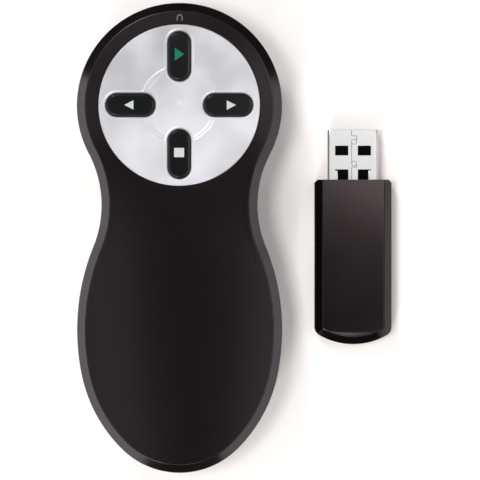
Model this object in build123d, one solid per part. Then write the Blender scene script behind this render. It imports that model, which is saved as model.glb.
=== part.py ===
"""Wireless presentation clicker: a waisted handset with a round button plate, and the USB receiver beside it.

Frame: millimetres, +Z up, +Y from the tail to the head. The origin is on the flat underside of the
handset, straight below the middle of the round button plate. The handset rests on its underside, and the
receiver lies on the same surface on the handset's right, with its plug towards +Y.

The handset is an upper and a lower moulded cover, screwed together from below. The upper cover holds the
button plate, the four button caps and, on posts, the circuit board with one key switch under each cap. The
lower cover holds two AAA cells behind a sliding door. Above the cells a sleeve takes the receiver, plug
first, through the slot in the tail, where the plug's nose presses a small switch.
"""

from build123d import *
import math
import os

# ---- handset outline: tangent arcs from the crest of the head to the tip of the tail ----
head_radius = 23.6
head_turn = 117.8  # degrees
waist_radius = 25.3
waist_turn = 50.1
flank_radius = 51.0
flank_turn = 34.1
hip_radius = 33.3
hip_turn = 34.2

# ---- handset casing ----
face_height = 26.5
arch_start = 20.0  # from the middle of the plate to where the face starts to fall
tail_drop = 2.0
parting_height = 11.9
wall = 1.8
floor_thickness = 1.6
roof_thickness = 1.6
bottom_round = 6.0
bevel_width = 1.95
bevel_rise = 1.4
inner_bevel = 1.2
lip_height = 1.0
lip_thickness = 0.75
fit_gap = 0.1  # between fixed pieces
slide_gap = 0.15  # between pieces that slide
past = 1.0  # how far outside a face a cut into it starts

# ---- button plate and caps ----
plate_radius = 18.5
plate_thickness = 1.2
plate_proud = 0.2
plate_edge_round = 0.15
plate_fall = 0.15  # how far the ring round the dish falls towards it
dish_radius = 8.75
dish_wall_width = 1.2
dish_depth = 0.45
pip_radius = 1.2
pip_height = 0.2
seat_floor = 1.2
cap_width = 5.0
cap_length = 11.1
cap_gap = 0.2
cap_offset = 11.2  # from the middle of the plate
cap_proud = 0.9
cap_round = 0.7
cap_flange = 0.8
cap_flange_thickness = 0.8
button_travel = 0.4
stem_radius = 1.6
stem_length = 1.6

# ---- key switches and circuit board ----
switch_side = 6.0
switch_corner = 0.5
switch_body_height = 3.6
plunger_radius = 1.7
plunger_proud = 0.8
plunger_gap = 0.08
plunger_root = 0.6
switch_pin_side = 0.7
switch_pin_length = 1.9
board_thickness = 1.6
board_inset = 2.8  # from the outline
board_tail_gap = 1.1
boss_radius = 2.6
boss_clearance = 0.4
radio_chip_side = 7.0
radio_chip_height = 1.0
radio_chip_forward = 2.0  # from the middle of the plate
controller_length = 10.2
controller_width = 5.3
controller_height = 1.7
controller_back = 5.0
crystal_length = 5.0
crystal_width = 3.2
crystal_height = 1.3
crystal_back = 19.0
antenna_length = 7.0
antenna_width = 2.0
antenna_height = 1.2
antenna_forward = 17.2
capacitor_length = 1.6
capacitor_width = 0.8
capacitor_height = 0.8
capacitor_x = 6.5
capacitor_forward = 3.5
capacitor_pitch = 2.2
capacitor_rows = 3
crystal_capacitor_x = 5.0

# ---- fasteners ----
case_screw_radius = 1.0
case_screw_length = 14.0
case_screw_head_radius = 1.9
case_screw_head_height = 1.4
counterbore_radius = 2.15
counterbore_depth = 3.2
head_boss_reach = 18.7  # of the two head screws from the middle of the plate
head_boss_angle = 45.0
hip_boss_x = 15.9
hip_boss_back = 53.0
board_screw_radius = 0.8
board_screw_grip = 4.0
board_screw_head_radius = 1.5
board_screw_head_height = 1.0
post_radius = 2.0
shoulder_post_x = 14.5
shoulder_post_back = 11.0
waist_post_x = 8.5
waist_post_back = 25.5
thread_gap = 0.03
drive_recess_radius = 0.9
drive_recess_depth = 0.7

# ---- cells and their contacts ----
cell_radius = 5.25
cell_length = 44.5
cell_nub_radius = 1.9
cell_nub_length = 0.9
cell_edge_round = 0.5
cell_pitch = 11.0
cell_floor_gap = 0.3
contact_thickness = 0.4
contact_side = 8.0
spring_length = 3.2  # as the cell presses it
spring_span = 7.2
spring_width = 5.0
spring_thickness = 0.3
spring_touch = 0.02
contact_tail_x = 4.2
contact_tail_width = 1.6
cell_bay_wall = 1.0
cell_bay_end_wall = 1.2
cell_bay_tail = 9.9  # from the tail's tip to the inside of the bay's end wall

# ---- battery door ----
door_half_width = 12.0
door_back = 27.5  # from the middle of the plate to the door's head end
door_thickness = 1.2
door_wrap_height = 9.0
door_travel = 8.0
ledge_thickness = 1.0
ledge_inner_x = 10.9
tab_length = 4.0
tab_thickness = 0.9
tab_leg = 0.7
tab_reach = 0.9
tab_end_gap = 0.5  # from the open door's last tabs to the end of the cells' bay
tab_back = 14.0  # from the door's head end to its first tabs
grip_length = 12.0
grip_width = 1.0
grip_depth = 0.35
grip_pitch = 2.2
grip_count = 4
grip_back = 63.9  # to the first groove

# ---- receiver ----
receiver_x = 40.8
receiver_back = 16.6  # from the middle of the plate to the front of its body
receiver_width = 18.3
receiver_length = 39.1
receiver_thickness = 8.0
receiver_split = 4.0
receiver_wall = 1.1
receiver_end_radius = 16.0
receiver_corner = 2.2
receiver_front_chamfer = 0.7
receiver_bevel_width = 1.75
receiver_bevel_rise = 1.2
receiver_base_chamfer = 1.0
receiver_board_thickness = 1.0
receiver_board_side_gap = 0.45  # from the board's sides to the walls
receiver_board_length = 26.0
receiver_board_post = 1.3
receiver_chip_side = 5.0
receiver_chip_height = 0.9
receiver_chip_y = 9.0  # back from the board's front edge, like the next two
receiver_crystal_length = 3.2
receiver_crystal_width = 2.5
receiver_crystal_height = 0.8
receiver_crystal_y = 16.0
receiver_capacitor_x = 4.5
receiver_capacitor_y = 4.0
receiver_capacitor_pitch = 2.0
receiver_capacitor_rows = 2
plug_width = 12.0
plug_height = 4.5
plug_reach = 11.85
plug_length = 18.75
plug_sheet_thickness = 0.3
plug_corner = 0.5
plug_mid_height = 4.0
window_width = 3.1
window_length = 2.3
window_x = 2.7
window_from_nose = 3.75
rear_window_from_nose = 9.4
rear_window_length = 3.0
window_tab_width = 0.6
window_tab_gap = 0.25
tongue_thickness = 1.9
tongue_setback = 0.3
tongue_gap = 0.05
plug_block_length = 4.0
plug_contact_width = 1.0
plug_contact_thickness = 0.2
plug_contact_setback = 1.3
outer_contact_x = 3.5
inner_contact_x = 1.0

# ---- receiver sleeve and the switch that its plug presses ----
sleeve_gap = 0.3
sleeve_wall = 0.9
sleeve_end_wall = 1.0
sleeve_spare = 1.2  # from the stowed plug's nose to the sleeve's end
sleeve_lift = 0.2  # above the cells
nose_switch_width = 5.0
nose_switch_length = 3.8
nose_switch_height = 2.2
nose_plunger_radius = 0.7
nose_plunger_reach = 2.0  # out of the sleeve's end wall
nose_plunger_travel = 1.2
nose_plunger_root = 0.6

# ---- levels and places worked out from the sizes above ----
plate_top = face_height + plate_proud
seat_level = plate_top - plate_thickness
pad_bottom = seat_level - seat_floor
cap_top = plate_top + cap_proud
flange_top = pad_bottom - fit_gap
flange_bottom = flange_top - cap_flange_thickness
plunger_top = flange_bottom - stem_length
switch_top = plunger_top - plunger_proud
board_top = switch_top - switch_body_height
board_bottom = board_top - board_thickness
cell_axis_z = door_thickness + cell_floor_gap + cell_radius
cell_top = cell_axis_z + cell_radius
sleeve_bottom = cell_top + sleeve_lift
bay_floor = sleeve_bottom + sleeve_wall
bay_roof = bay_floor + receiver_thickness + 2 * sleeve_gap
sleeve_top = bay_roof + sleeve_wall
bay_half_width = receiver_width / 2 + sleeve_gap
receiver_hollow_inset = receiver_wall + receiver_bevel_width / 2
receiver_board_width = receiver_width - 2 * (receiver_hollow_inset + receiver_board_side_gap)
head_bosses = [
    (side * head_boss_reach * math.sin(math.radians(head_boss_angle)),
     head_boss_reach * math.cos(math.radians(head_boss_angle)))
    for side in (1, -1)
]
hip_bosses = [(side * hip_boss_x, -hip_boss_back) for side in (1, -1)]
board_posts = [
    (side * x, -back)
    for side in (1, -1)
    for x, back in ((shoulder_post_x, shoulder_post_back), (waist_post_x, waist_post_back))
]
button_angles = {"forward": 0.0, "start": 90.0, "back": 180.0, "stop": 270.0}  # round the plate


def unit(heading):
    """The outward normal of the outline at a heading, counted clockwise from +X in degrees."""
    return math.sin(math.radians(heading)), math.cos(math.radians(heading))


def outline_arcs():
    """Centre, radius, first and last heading of each arc of the right half. Hollow arcs have minus radii."""
    arcs = []
    x, y, heading = 0.0, head_radius, 0.0
    for radius, turn in (
        (head_radius, head_turn),
        (-waist_radius, waist_turn),
        (flank_radius, flank_turn),
        (hip_radius, hip_turn),
    ):
        nx, ny = unit(heading)
        centre = (x - radius * nx, y - radius * ny)
        last = heading + math.copysign(turn, radius)
        arcs.append((centre, radius, heading, last))
        nx, ny = unit(last)
        x, y, heading = centre[0] + radius * nx, centre[1] + radius * ny, last
    nx, ny = unit(heading)
    tail_radius = x / nx
    arcs.append(((0.0, y - tail_radius * ny), tail_radius, heading, 180.0))
    return arcs


ARCS = outline_arcs()
tail_y = ARCS[-1][0][1] - ARCS[-1][1]
cell_bay_tail_y = tail_y + cell_bay_tail
cell_bay_length = cell_length + spring_length + 2 * contact_thickness
cell_bay_head_y = cell_bay_tail_y + cell_bay_length
tab_ends = (-door_back - tab_back, cell_bay_tail_y + tab_end_gap + door_travel + tab_length)
stowed_nose_y = tail_y + receiver_length + plug_reach
sleeve_inner_end = stowed_nose_y + sleeve_spare
sleeve_outer_end = sleeve_inner_end + sleeve_end_wall
board_tail_y = sleeve_outer_end + board_tail_gap


def outline_point(arc, heading, inset, side=1):
    """The point of an arc at a heading, on the outline moved in by inset."""
    (cx, cy), radius, _, _ = arc
    nx, ny = unit(heading)
    return side * (cx + (radius - inset) * nx), cy + (radius - inset) * ny


def outline(inset=0.0):
    """The handset's outline, moved in by inset, as a face at z 0."""
    head, *sides, tail = ARCS
    join = head[3]
    edges = [ThreePointArc(outline_point(head, join, inset, -1), outline_point(head, 0, inset),
                           outline_point(head, join, inset))]
    for side in (1, -1):
        for arc in sides:
            headings = (arc[2], (arc[2] + arc[3]) / 2, arc[3])
            edges.append(ThreePointArc(*[outline_point(arc, heading, inset, side) for heading in headings]))
    join = tail[2]
    edges.append(ThreePointArc(outline_point(tail, join, inset), outline_point(tail, 180, inset),
                               outline_point(tail, join, inset, -1)))
    return make_face(edges)


def slab(plan, low, high):
    """A plan at z 0, extruded from low to high."""
    return Pos(0, 0, low) * extrude(plan, amount=high - low)


def block(x, y, z):
    """A box from its (low, high) pairs."""
    return Pos(sum(x) / 2, sum(y) / 2, sum(z) / 2) * Box(x[1] - x[0], y[1] - y[0], z[1] - z[0])


def rod(x, y, radius, low, high):
    """An upright cylinder."""
    return Pos(x, y, (low + high) / 2) * Cylinder(radius, high - low)


def obround(angle, grow, low, high):
    """An upright slab in the plan of the cap at that angle round the plate, grown by grow all round."""
    plan = Rot(0, 0, angle) * (Pos(cap_offset, 0) * SlotOverall(cap_length + 2 * grow, cap_width + 2 * grow))
    return slab(plan, low, high)


def place(angle):
    """The place of the button at that angle, in plan."""
    return cap_offset * math.cos(math.radians(angle)), cap_offset * math.sin(math.radians(angle))


# ---- casing ----
def below_face(lower):
    """All that lies under the face moved down by lower: level over the head, then a long arc to the tail."""
    start_y = -arch_start
    run = start_y - tail_y
    arch_radius = (run**2 + tail_drop**2) / (2 * tail_drop)
    radius = arch_radius - lower
    centre_z = face_height - arch_radius
    margin = 10.0
    end_y = tail_y - margin

    def arch_z(y):
        return centre_z + math.sqrt(radius**2 - (y - start_y) ** 2)

    level = face_height - lower
    middle = (start_y + end_y) / 2
    sides = [
        Polyline((end_y, arch_z(end_y)), (end_y, -margin), (head_radius + margin, -margin),
                 (head_radius + margin, level), (start_y, level)),
        ThreePointArc((start_y, level), (middle, arch_z(middle)), (end_y, arch_z(end_y))),
    ]
    return extrude(Plane.YZ * make_face(sides), amount=2 * (flank_radius + margin), both=True)


def casing_form(inset, low, lower, round_radius, bevel):
    """The casing's form moved in by inset: round at its foot, bevelled (width, rise) round its face."""
    form = slab(outline(inset), low, face_height + bevel_rise)
    form = fillet(form.faces().sort_by(Axis.Z)[0].edges(), round_radius)
    form = (form & below_face(lower)).solids()[0]
    tops = form.faces().filter_by(lambda f: f.normal_at(f.center()).Z > 0.98)
    tops = tops.filter_by(lambda f: f.center().Z > parting_height)
    inner = [e for e in tops[0].edges() if any(e.is_same(other) for other in tops[1].edges())]
    rim = [e for top in tops for e in top.edges() if not any(e.is_same(i) for i in inner)]
    width, rise = bevel
    return chamfer(rim, width, rise)


def cavity(gap=0.0):
    """The hollow of the casing, made smaller by gap."""
    return casing_form(wall + gap, floor_thickness + gap, roof_thickness + gap,
                       bottom_round - wall, (inner_bevel, inner_bevel))


OUTER = casing_form(0.0, 0.0, 0.0, bottom_round, (bevel_width, bevel_rise))
HOLLOW = cavity()
FAR = 4 * head_radius  # beyond every edge of the handset


def half_space(low, high):
    """A wide slab between two levels."""
    return block((-FAR, FAR), (2 * tail_y, FAR), (low, high))


def top_cover():
    shell = (OUTER - HOLLOW) & half_space(parting_height, face_height + past)
    shell += slab(Circle(plate_radius + roof_thickness), pad_bottom, face_height - roof_thickness) & HOLLOW
    for x, y in head_bosses + hip_bosses:
        shell += rod(x, y, boss_radius, parting_height + fit_gap, face_height) & HOLLOW
    for x, y in board_posts:
        shell += rod(x, y, post_radius, board_top, face_height) & HOLLOW
    shell -= rod(0, 0, plate_radius + fit_gap, seat_level, face_height + past)
    for angle in button_angles.values():
        shell -= obround(angle, cap_gap, pad_bottom - past, seat_level + past)
    rebate = outline(wall - lip_thickness - fit_gap) - outline(wall + fit_gap)
    shell -= slab(rebate, parting_height - past, parting_height + lip_height + fit_gap)
    for x, y in head_bosses + hip_bosses:
        shell -= rod(x, y, case_screw_radius + thread_gap, 0, counterbore_depth + case_screw_length + past)
    for x, y in board_posts:
        shell -= rod(x, y, board_screw_radius + thread_gap, 0, board_top + board_screw_grip + fit_gap)
    return shell - bay_mouth()


def bay_mouth():
    """The slot through the tail wall that the receiver goes in by."""
    return block((-bay_half_width, bay_half_width), (2 * tail_y, cell_bay_tail_y), (bay_floor, bay_roof))


def door_channel(gap):
    """The space that the battery door fills in the lower cover, made larger by gap."""
    half = door_half_width + gap
    plate = block((-half, half), (2 * tail_y, gap - door_back), (-past, door_thickness + gap))
    wrap_end = cell_bay_tail_y - cell_bay_end_wall - slide_gap + gap
    wrap = block((-half, half), (2 * tail_y, wrap_end), (-past, door_wrap_height + gap))
    return plate + wrap


def cell_bay():
    """The walls round the cells, with the ledges that hold the door and windows for its tabs."""
    half = ledge_inner_x + cell_bay_wall
    ends = (cell_bay_tail_y - cell_bay_end_wall, cell_bay_head_y + cell_bay_end_wall)
    top = sleeve_bottom - fit_gap
    bay = block((-half, half), ends, (door_thickness + slide_gap, top))
    bay -= block((-ledge_inner_x, ledge_inner_x), (cell_bay_tail_y, cell_bay_head_y), (0, top + past))
    ledge_top = door_thickness + slide_gap + ledge_thickness
    for side in (1, -1):
        for head_end in tab_ends:
            xs = sorted((side * (ledge_inner_x - past), side * (half + past)))
            window = (head_end - tab_length - door_travel - slide_gap, head_end + slide_gap)
            bay -= block(xs, window, (ledge_top, ledge_top + tab_thickness + 2 * slide_gap))
            xs = sorted((side * (ledge_inner_x - past), side * (ledge_inner_x + tab_reach)))
            notch = (head_end - tab_length - door_travel - slide_gap, head_end - door_travel + slide_gap)
            bay -= block(xs, notch, (0, ledge_top + slide_gap))
    return bay


def bottom_cover():
    shell = (OUTER - HOLLOW) & half_space(-past, parting_height)
    lip = outline(wall - lip_thickness) - outline(wall)
    shell += slab(lip, parting_height - past, parting_height + lip_height)
    shell += cell_bay() & casing_form(wall / 2, 0, 0, bottom_round - wall / 2, (inner_bevel, inner_bevel))
    for x, y in head_bosses + hip_bosses:
        shell += rod(x, y, boss_radius + fit_gap, floor_thickness / 2, parting_height)
    shell -= door_channel(slide_gap)
    way_in = (-past, floor_thickness + past)
    shell -= block((-ledge_inner_x, ledge_inner_x), (cell_bay_tail_y, -door_back), way_in)
    for x, y in head_bosses + hip_bosses:
        shell -= rod(x, y, case_screw_radius + fit_gap, 0, parting_height + past)
        shell -= rod(x, y, counterbore_radius, -past, counterbore_depth)
    return shell


def battery_door():
    """A plate with a skin that wraps up the tail, and four hooked tabs under the ledges."""
    skin = (OUTER - HOLLOW) & half_space(-past, parting_height)
    plate = OUTER & block((-FAR, FAR), (2 * tail_y, FAR), (-past, door_thickness))
    door = (skin + plate) & door_channel(0.0)
    ledge_top = door_thickness + slide_gap + ledge_thickness
    tab_low = ledge_top + slide_gap
    for side in (1, -1):
        for head_end in tab_ends:
            span = (head_end - tab_length, head_end)
            leg_x = side * (ledge_inner_x - slide_gap)
            back_x = leg_x - side * tab_leg
            hook_x = side * (ledge_inner_x + tab_reach - slide_gap)
            door += block(sorted((leg_x, back_x)), span, (door_thickness / 2, tab_low + tab_thickness))
            door += block(sorted((hook_x, back_x)), span, (tab_low, tab_low + tab_thickness))
    for i in range(grip_count):
        groove = SlotOverall(grip_length, grip_width)
        door -= slab(Pos(0, -grip_back - i * grip_pitch) * groove, -past, grip_depth)
    return door


# ---- buttons ----
def button_plate():
    """A disc with a shallow dish and a pip at its middle, and four slots for the caps."""
    rim_in = plate_radius - plate_edge_round
    ring_low = plate_top - plate_fall
    dish_low = ring_low - dish_depth
    dish_in = dish_radius - dish_wall_width
    profile = Polyline(
        (0, seat_level), (plate_radius, seat_level), (plate_radius, plate_top - plate_edge_round),
        (rim_in, plate_top), (dish_radius, ring_low), (dish_in, dish_low),
        (pip_radius, dish_low), (pip_radius / 2, dish_low + pip_height), (0, dish_low + pip_height),
        close=True,
    )
    plate = revolve(Plane.XZ * make_face(profile), Axis.Z)
    for angle in button_angles.values():
        plate -= obround(angle, cap_gap, seat_level - past, plate_top + past)
    return plate


def button_cap(angle):
    """A round-shouldered cap with a flange under the plate's seat and a stem on the switch."""
    cap = obround(angle, 0, flange_bottom, cap_top)
    cap = fillet(cap.faces().sort_by(Axis.Z)[-1].edges(), cap_round)
    cap += obround(angle, cap_flange, flange_bottom, flange_top)
    x, y = place(angle)
    return cap + rod(x, y, stem_radius, plunger_top, flange_bottom + cap_flange_thickness / 2)


def key_switch(angle):
    """The fixed body of a key switch, with its pins through the board."""
    x, y = place(angle)
    half = switch_side / 2
    body = block((x - half, x + half), (y - half, y + half), (board_top, switch_top))
    body = chamfer(body.edges().filter_by(Axis.Z), switch_corner)
    hole_low = plunger_top - button_travel - plunger_proud - plunger_root
    body -= rod(x, y, plunger_radius + plunger_gap, hole_low, switch_top + past)
    pin = switch_pin_side / 2
    for px, py in switch_pins(angle):
        body += block((px - pin, px + pin), (py - pin, py + pin), (board_top - switch_pin_length, board_top))
    return body


def switch_pins(angle):
    """The places of a key switch's four pins."""
    x, y = place(angle)
    reach = switch_side / 2 - switch_pin_side
    return [(x + sx * reach, y + sy * reach) for sx in (1, -1) for sy in (1, -1)]


def switch_plunger(angle):
    """The round plunger of a key switch, which moves with the cap."""
    x, y = place(angle)
    return rod(x, y, plunger_radius, plunger_top - plunger_proud - plunger_root, plunger_top)


# ---- circuit board and what is on it ----
def main_board():
    plan = outline(board_inset) & (Pos(0, board_tail_y + FAR / 2) * Rectangle(2 * FAR, FAR))
    board = slab(plan, board_bottom, board_top)
    for x, y in head_bosses:
        board -= rod(x, y, boss_radius + boss_clearance, board_bottom - past, board_top + past)
    for x, y in board_posts:
        board -= rod(x, y, board_screw_radius + fit_gap, board_bottom - past, board_top + past)
    hole = Rectangle(switch_pin_side + 2 * fit_gap, switch_pin_side + 2 * fit_gap)
    for angle in button_angles.values():
        for x, y in switch_pins(angle):
            board -= slab(Pos(x, y) * hole, board_bottom - past, board_top + past)
    for side in (1, -1):
        board -= contact_tail(side, fit_gap)
    return board


def on_board(x, y, length, width, height):
    """A component that hangs from the underside of the board."""
    plan = Pos(x, y) * Rectangle(length, width)
    return slab(plan, board_bottom - height, board_bottom)


def chip_capacitors():
    """A column on each side of the radio chip, and one on each side of the crystal."""
    size = (capacitor_length, capacitor_width, capacitor_height)
    places = [(capacitor_x, capacitor_forward - i * capacitor_pitch) for i in range(capacitor_rows)]
    places.append((crystal_capacitor_x, -crystal_back))
    return Compound([on_board(side * x, y, *size) for side in (1, -1) for x, y in places])


# ---- fasteners ----
def screw(x, y, head_low, head_height, head_radius, radius, tip):
    """A pan-head screw, driven upwards, with a cross recess in its head."""
    seat = head_low + head_height
    head = rod(x, y, head_radius, head_low, seat)
    head = fillet(head.faces().sort_by(Axis.Z)[0].edges(), head_height / 3)
    body = head + rod(x, y, radius, seat - head_height / 2, tip - radius)
    body += Pos(x, y, tip - radius / 2) * Cone(radius, radius / 3, radius)
    blade = Rectangle(2 * drive_recess_radius, drive_recess_radius / 2)
    cross = Pos(x, y) * (blade + Rot(0, 0, 90) * blade)
    return body - slab(cross, head_low - past, head_low + drive_recess_depth)


def case_screws():
    head_low = counterbore_depth - case_screw_head_height
    tip = counterbore_depth + case_screw_length
    return Compound([
        screw(x, y, head_low, case_screw_head_height, case_screw_head_radius, case_screw_radius, tip)
        for x, y in head_bosses + hip_bosses
    ])


def board_screws():
    head_low = board_bottom - board_screw_head_height
    tip = board_top + board_screw_grip
    return Compound([
        screw(x, y, head_low, board_screw_head_height, board_screw_head_radius, board_screw_radius, tip)
        for x, y in board_posts
    ])


# ---- cells and contacts ----
def cell(side):
    """An AAA cell. The left one points its nub at the head, the right one at the tail."""
    body = rod(0, 0, cell_radius, 0, cell_length - cell_nub_length)
    body = fillet(body.edges().filter_by(GeomType.CIRCLE), cell_edge_round)
    body += rod(0, 0, cell_nub_radius, cell_length / 2, cell_length)
    x = side * cell_pitch / 2
    if side < 0:
        foot_y = cell_bay_tail_y + contact_thickness + spring_length
        return Pos(x, foot_y, cell_axis_z) * Rot(-90, 0, 0) * body
    foot_y = cell_bay_head_y - contact_thickness - spring_length
    return Pos(x, foot_y, cell_axis_z) * Rot(90, 0, 0) * body


def contact_spring(side):
    """An arched leaf between a contact plate and the flat end of a cell."""
    rise = spring_length - spring_touch
    radius = ((spring_span / 2) ** 2 + rise**2) / (2 * rise)
    arch = Pos(rise - radius, 0) * (Circle(radius) - Circle(radius - spring_thickness))
    arch &= Pos(rise / 2, 0) * Rectangle(rise, spring_span + past)
    leaf = Plane.YZ * extrude(arch, amount=spring_width / 2, both=True)
    x = side * cell_pitch / 2
    if side < 0:
        return Pos(x, cell_bay_tail_y + contact_thickness, cell_axis_z) * leaf
    return Pos(x, cell_bay_head_y - contact_thickness, cell_axis_z) * Rot(0, 0, 180) * leaf


def link_plate():
    """The strip that joins the two cells at the tail."""
    half = (cell_pitch + contact_side) / 2
    low = cell_axis_z - contact_side / 2
    y = (cell_bay_tail_y, cell_bay_tail_y + contact_thickness)
    return block((-half, half), y, (low, low + contact_side))


def contact_tail(side, gap=0.0):
    """The strip of a contact that stands up through the board."""
    x = side * contact_tail_x
    half = contact_tail_width / 2 + gap
    y = (cell_bay_head_y - contact_thickness - gap, cell_bay_head_y + gap)
    low = cell_axis_z
    return block((x - half, x + half), y, (low, board_top + contact_thickness))


def head_contact(side):
    """A contact plate at the head end of the bay, with its tail to the board."""
    x = side * cell_pitch / 2
    half = contact_side / 2
    y = (cell_bay_head_y - contact_thickness, cell_bay_head_y)
    plate = block((x - half, x + half), y, (cell_axis_z - half, cell_axis_z + half))
    return plate + contact_tail(side)


# ---- receiver sleeve ----
def receiver_sleeve():
    """A tube with a closed head end, which guides the receiver from the slot in the tail."""
    half = bay_half_width + sleeve_wall
    tube = block((-half, half), (2 * tail_y, sleeve_outer_end), (sleeve_bottom, sleeve_top))
    tube = fillet(tube.edges().filter_by(Axis.Y), sleeve_wall)
    tube = tube & cavity(fit_gap)
    tube -= block((-bay_half_width, bay_half_width), (2 * tail_y, sleeve_inner_end), (bay_floor, bay_roof))
    return tube - nose_plunger(plunger_gap)


def nose_switch():
    """The small switch on the board's tail edge that the stowed receiver presses."""
    half = nose_switch_width / 2
    y = (board_tail_y, board_tail_y + nose_switch_length)
    body = block((-half, half), y, (board_top, board_top + nose_switch_height))
    return body - nose_plunger(plunger_gap, extra=nose_plunger_travel)


def nose_plunger(gap=0.0, extra=0.0):
    """The pin of that switch, lengthened inwards by extra where it cuts its own hole."""
    low_y = sleeve_inner_end - nose_plunger_reach
    high_y = board_tail_y + nose_plunger_root + extra + gap
    middle = Pos(0, (low_y + high_y) / 2, board_top + nose_switch_height / 2)
    return middle * Rot(90, 0, 0) * Cylinder(nose_plunger_radius + gap, high_y - low_y)


# ---- receiver, in its own frame: front face at y 0, base at z 0 ----
def receiver_plan(inset=0.0):
    """The receiver's plan: square front with cut corners, and an end that is one arc."""
    half = receiver_width / 2
    sag = receiver_end_radius - math.sqrt(receiver_end_radius**2 - half**2)
    shoulder = sag - receiver_length
    edges = [
        Polyline((-half, shoulder), (-half, 0), (half, 0), (half, shoulder)),
        ThreePointArc((half, shoulder), (0, -receiver_length), (-half, shoulder)),
    ]
    plan = make_face(edges)
    plan = chamfer(plan.vertices().group_by(Axis.Y)[-1], receiver_front_chamfer)
    plan = fillet(plan.vertices().filter_by(lambda v: abs(v.Y - shoulder) < 0.01), receiver_corner)
    return offset(plan, amount=-inset, kind=Kind.INTERSECTION) if inset else plan


def long_rim(form, level):
    """The edges round the sides and the end of a form's face at a level, without the front ones."""
    rim = form.faces().filter_by(Axis.Z).sort_by(lambda f: abs(f.center().Z - level))[0].edges()
    return rim.filter_by(lambda e: e.center().Y < -2 * receiver_front_chamfer)


def receiver_form():
    form = slab(receiver_plan(), 0, receiver_thickness)
    form = chamfer(long_rim(form, receiver_thickness), receiver_bevel_width, receiver_bevel_rise)
    return chamfer(long_rim(form, 0), receiver_base_chamfer)


def receiver_hollow():
    """The space inside the two halves, and the hole for the plug in the front."""
    hollow = slab(receiver_plan(receiver_hollow_inset), receiver_wall, receiver_thickness - receiver_wall)
    half_w, half_h = plug_width / 2 + fit_gap / 2, plug_height / 2 + fit_gap / 2
    hole = block((-half_w, half_w), (-2 * receiver_wall - receiver_bevel_width, past),
                 (plug_mid_height - half_h, plug_mid_height + half_h))
    return hollow + hole


def receiver_top_cover():
    return (receiver_form() - receiver_hollow()) & half_space(receiver_split, receiver_thickness + past)


def receiver_bottom_cover():
    cover = (receiver_form() - receiver_hollow()) & half_space(-past, receiver_split)
    for x, y in receiver_post_places():
        cover += rod(x, y, receiver_board_post, receiver_wall / 2, receiver_board_low())
    return cover


def receiver_board_low():
    return plug_mid_height - receiver_board_thickness


def receiver_post_places():
    """Under the four corners of the receiver's board."""
    x = receiver_board_width / 2 - receiver_board_post
    near = -plug_length + plug_reach - 2 * receiver_board_post
    far = near - receiver_board_length + 4 * receiver_board_post
    return [(side * x, y) for side in (1, -1) for y in (near, far)]


def plug_shell():
    """The folded metal shell of the plug, with two windows and two half-hidden ones on each face."""
    outer = RectangleRounded(plug_width, plug_height, plug_corner)
    inner = offset(outer, amount=-plug_sheet_thickness)
    tube = Pos(0, plug_reach, plug_mid_height) * extrude(Plane.XZ * (outer - inner), amount=plug_length)
    for side in (1, -1):
        nose = plug_reach - window_from_nose
        x_in, x_out = window_x - window_width / 2, window_x + window_width / 2
        across = sorted((side * x_in, side * x_out))
        tube -= block(across, (nose - window_length, nose), (-past, receiver_thickness))
        rear = plug_reach - rear_window_from_nose
        tube -= block(across, (rear - window_tab_gap, rear), (-past, receiver_thickness))
        across = sorted((side * x_in, side * (x_out - window_tab_width)))
        tube -= block(across, (rear - rear_window_length, rear), (-past, receiver_thickness))
    return tube


def plug_tongue():
    """The insulator: a tongue under the shell's upper face, and the block that it grows from."""
    half = plug_width / 2 - plug_sheet_thickness - tongue_gap
    top = plug_mid_height + plug_height / 2 - plug_sheet_thickness - tongue_gap
    low = plug_mid_height - plug_height / 2 + plug_sheet_thickness + tongue_gap
    back = plug_reach - plug_length
    tongue = block((-half, half), (back, plug_reach - tongue_setback), (top - tongue_thickness, top))
    return tongue + block((-half, half), (back, back + plug_block_length), (low, top))


def plug_contacts():
    """Four strips under the tongue. The outer two reach further out."""
    top = plug_mid_height + plug_height / 2 - plug_sheet_thickness - tongue_gap - tongue_thickness
    back = plug_reach - plug_length + plug_block_length
    strips = []
    for x, setback in ((outer_contact_x, plug_contact_setback), (inner_contact_x, 2 * plug_contact_setback)):
        for side in (1, -1):
            across = (side * x - plug_contact_width / 2, side * x + plug_contact_width / 2)
            strips.append(block(across, (back, plug_reach - setback), (top - plug_contact_thickness, top)))
    return Compound(strips)


def on_receiver_board(x, y, length, width, height):
    """A component on the receiver's board. y counts back from the board's front edge."""
    top = receiver_board_low() + receiver_board_thickness
    front = plug_reach - plug_length - fit_gap
    return slab(Pos(x, front - y) * Rectangle(length, width), top, top + height)


def receiver_board():
    top = receiver_board_low() + receiver_board_thickness
    front = plug_reach - plug_length - fit_gap
    half = receiver_board_width / 2
    return block((-half, half), (front - receiver_board_length, front), (receiver_board_low(), top))


def receiver_radio_chip():
    return on_receiver_board(0, receiver_chip_y, receiver_chip_side, receiver_chip_side, receiver_chip_height)


def receiver_crystal():
    size = (receiver_crystal_length, receiver_crystal_width, receiver_crystal_height)
    return on_receiver_board(0, receiver_crystal_y, *size)


def receiver_capacitors():
    """Rows on both sides, ahead of the radio chip."""
    size = (capacitor_length, capacitor_width, capacitor_height)
    rows = [receiver_capacitor_y + i * receiver_capacitor_pitch for i in range(receiver_capacitor_rows)]
    return Compound([
        on_receiver_board(side * receiver_capacitor_x, y, *size) for side in (1, -1) for y in rows
    ])


def write(node, shape):
    export_step(shape, f"parts/{node}.step")


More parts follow.
